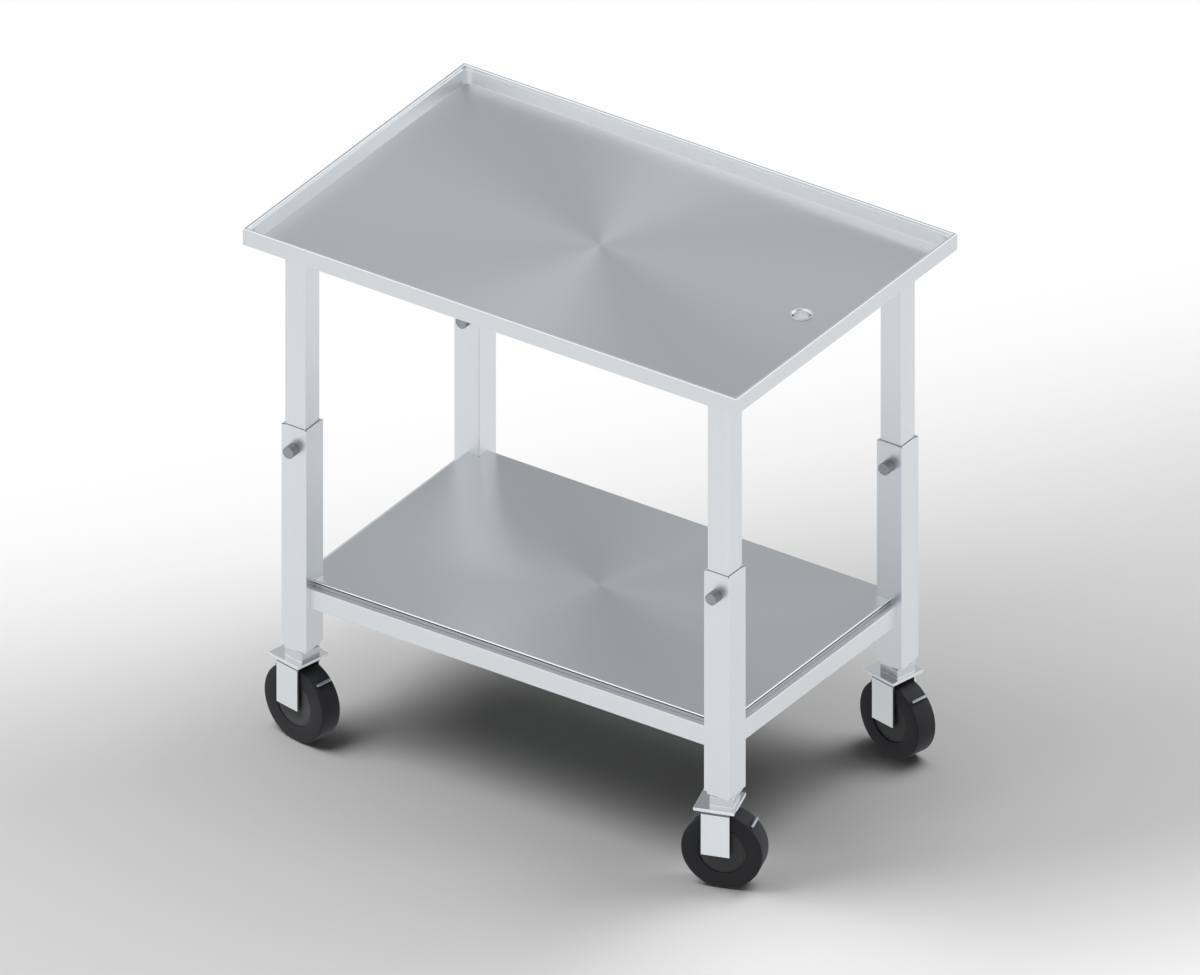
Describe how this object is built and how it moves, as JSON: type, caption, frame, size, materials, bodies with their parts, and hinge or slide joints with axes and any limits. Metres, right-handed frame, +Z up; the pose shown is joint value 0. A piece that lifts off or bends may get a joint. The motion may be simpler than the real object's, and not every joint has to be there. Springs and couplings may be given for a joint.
{
  "type": "dissection cart",
  "caption": "Height-adjustable steel dissection cart: rimmed tray with a drain on telescoping square legs with lock screws, over a lower shelf and rails on braked swivel casters.",
  "frame": {"origin": "on the floor, under the middle of the tray", "axes": "+X along the tray's length towards the drain, +Y from the lock screw side to the back, +Z up"},
  "size_m": [0.9172, 0.6032, 0.9144],
  "materials": {
    "tray_steel": "satin, circular brushed",
    "shelf_steel": "satin, circular brushed",
    "tube_steel": "satin",
    "plated_steel": "bright plated",
    "dark_steel": "dark, turned",
    "tread": "matt black rubber",
    "hub_plastic": "matt dark grey"
  },
  "bodies": {
    "lower_frame": {"outer_leg_front_left": "tube_steel", "outer_leg_front_right": "tube_steel", "outer_leg_rear_left": "tube_steel", "outer_leg_rear_right": "tube_steel", "rail_front": "tube_steel", "rail_rear": "tube_steel", "rail_left": "tube_steel", "rail_right": "tube_steel", "shelf": "shelf_steel", "leg_plug_front_left": "tube_steel", "leg_plug_front_right": "tube_steel", "leg_plug_rear_left": "tube_steel", "leg_plug_rear_right": "tube_steel", "caster_plate_front_left": "tube_steel", "caster_plate_front_right": "tube_steel", "caster_plate_rear_left": "tube_steel", "caster_plate_rear_right": "tube_steel", "kingpin_front_left": "plated_steel", "kingpin_front_right": "plated_steel", "kingpin_rear_left": "plated_steel", "kingpin_rear_right": "plated_steel"},
    "tray_frame": {"tray": "tray_steel", "drain_body": "plated_steel", "drain_locknut": "plated_steel", "inner_leg_front_left": "tube_steel", "inner_leg_front_right": "tube_steel", "inner_leg_rear_left": "tube_steel", "inner_leg_rear_right": "tube_steel", "leg_plate_front_left": "tube_steel", "leg_plate_front_right": "tube_steel", "leg_plate_rear_left": "tube_steel", "leg_plate_rear_right": "tube_steel", "tray_channel_front": "tube_steel", "tray_channel_rear": "tube_steel"},
    "knob_front_left": {"lock_screw_front_left": "dark_steel"},
    "knob_front_right": {"lock_screw_front_right": "dark_steel"},
    "knob_rear_left": {"lock_screw_rear_left": "dark_steel"},
    "knob_rear_right": {"lock_screw_rear_right": "dark_steel"},
    "caster_front_left": {"fork_front_left": "tube_steel", "brake_strap_front_left": "dark_steel", "axle_front_left": "plated_steel"},
    "caster_front_right": {"fork_front_right": "tube_steel", "brake_strap_front_right": "dark_steel", "axle_front_right": "plated_steel"},
    "caster_rear_left": {"fork_rear_left": "tube_steel", "brake_strap_rear_left": "dark_steel", "axle_rear_left": "plated_steel"},
    "caster_rear_right": {"fork_rear_right": "tube_steel", "brake_strap_rear_right": "dark_steel", "axle_rear_right": "plated_steel"},
    "wheel_front_left": {"tyre_front_left": "tread", "wheel_hub_front_left": "hub_plastic"},
    "wheel_front_right": {"tyre_front_right": "tread", "wheel_hub_front_right": "hub_plastic"},
    "wheel_rear_left": {"tyre_rear_left": "tread", "wheel_hub_rear_left": "hub_plastic"},
    "wheel_rear_right": {"tyre_rear_right": "tread", "wheel_hub_rear_right": "hub_plastic"}
  },
  "joints": [
    {"name": "tray_height", "type": "slide", "parent": "lower_frame", "child": "tray_frame", "axis": [0, 0, 1], "range_m": [-0.12, 0.13]},
    {"name": "lock_front_left", "type": "hinge", "parent": "lower_frame", "child": "knob_front_left", "pos_m": [-0.3915, -0.26743, 0.5226], "axis": [0, -1, 0], "range_deg": [0, 360]},
    {"name": "lock_front_right", "type": "hinge", "parent": "lower_frame", "child": "knob_front_right", "pos_m": [0.3915, -0.26743, 0.5226], "axis": [0, -1, 0], "range_deg": [0, 360]},
    {"name": "lock_rear_left", "type": "hinge", "parent": "lower_frame", "child": "knob_rear_left", "pos_m": [-0.3915, 0.20442, 0.5226], "axis": [0, -1, 0], "range_deg": [0, 360]},
    {"name": "lock_rear_right", "type": "hinge", "parent": "lower_frame", "child": "knob_rear_right", "pos_m": [0.3915, 0.20442, 0.5226], "axis": [0, -1, 0], "range_deg": [0, 360]},
    {"name": "swivel_front_left", "type": "hinge", "parent": "lower_frame", "child": "caster_front_left", "pos_m": [-0.39981, -0.23416, 0.133], "axis": [0, 0, 1], "continuous": true},
    {"name": "swivel_front_right", "type": "hinge", "parent": "lower_frame", "child": "caster_front_right", "pos_m": [0.38342, -0.23855, 0.133], "axis": [0, 0, 1], "continuous": true},
    {"name": "swivel_rear_left", "type": "hinge", "parent": "lower_frame", "child": "caster_rear_left", "pos_m": [-0.39981, 0.23769, 0.133], "axis": [0, 0, 1], "continuous": true},
    {"name": "swivel_rear_right", "type": "hinge", "parent": "lower_frame", "child": "caster_rear_right", "pos_m": [0.38319, 0.23769, 0.133], "axis": [0, 0, 1], "continuous": true},
    {"name": "spin_front_left", "type": "hinge", "parent": "caster_front_left", "child": "wheel_front_left", "pos_m": [-0.3915, -0.23592, 0.065], "axis": [0.2079, 0.9781, 0], "continuous": true},
    {"name": "spin_front_right", "type": "hinge", "parent": "caster_front_right", "child": "wheel_front_right", "pos_m": [0.3915, -0.23592, 0.065], "axis": [-0.309, 0.9511, 0], "continuous": true},
    {"name": "spin_rear_left", "type": "hinge", "parent": "caster_rear_left", "child": "wheel_rear_left", "pos_m": [-0.3915, 0.23592, 0.065], "axis": [0.2079, 0.9781, 0], "continuous": true},
    {"name": "spin_rear_right", "type": "hinge", "parent": "caster_rear_right", "child": "wheel_rear_right", "pos_m": [0.3915, 0.23592, 0.065], "axis": [0.2079, 0.9781, 0], "continuous": true}
  ]
}
